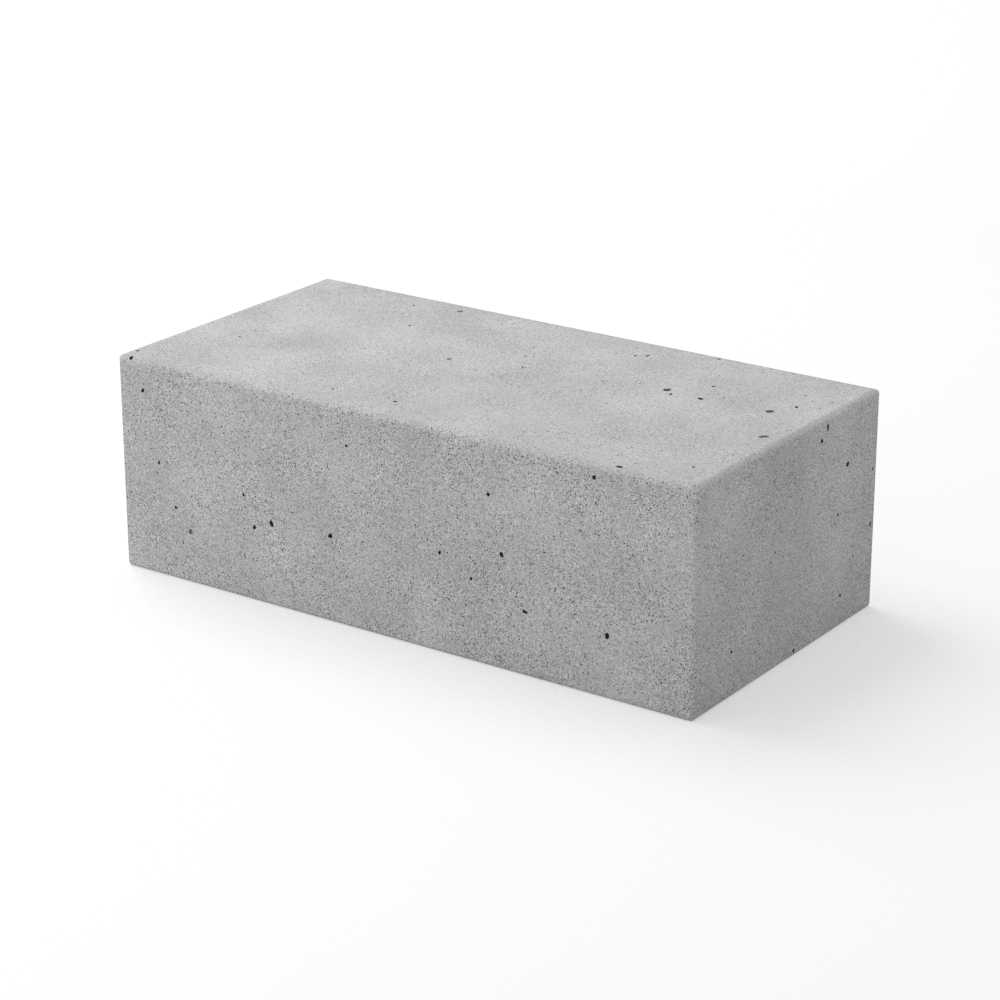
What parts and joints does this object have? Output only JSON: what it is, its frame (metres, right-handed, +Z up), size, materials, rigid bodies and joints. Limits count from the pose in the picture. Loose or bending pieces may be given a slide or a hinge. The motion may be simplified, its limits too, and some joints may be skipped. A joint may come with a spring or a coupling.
{
  "type": "firebrick",
  "caption": "Straight rectangular firebrick with flat faces and slightly rounded arrises, laid in mortar to line furnaces, kilns, stoves and fireplaces.",
  "frame": {"origin": "middle of the bed face that the brick lies on", "axes": "+X along the length, +Y along the width, +Z up through the thickness"},
  "size_m": [0.2286, 0.1142, 0.0762],
  "materials": {
    "fired_body": "dry matt grey fired body, fine grained, with small dark specks and scattered pores"
  },
  "bodies": {
    "root": {"firebrick": "fired_body"}
  },
  "joints": []
}
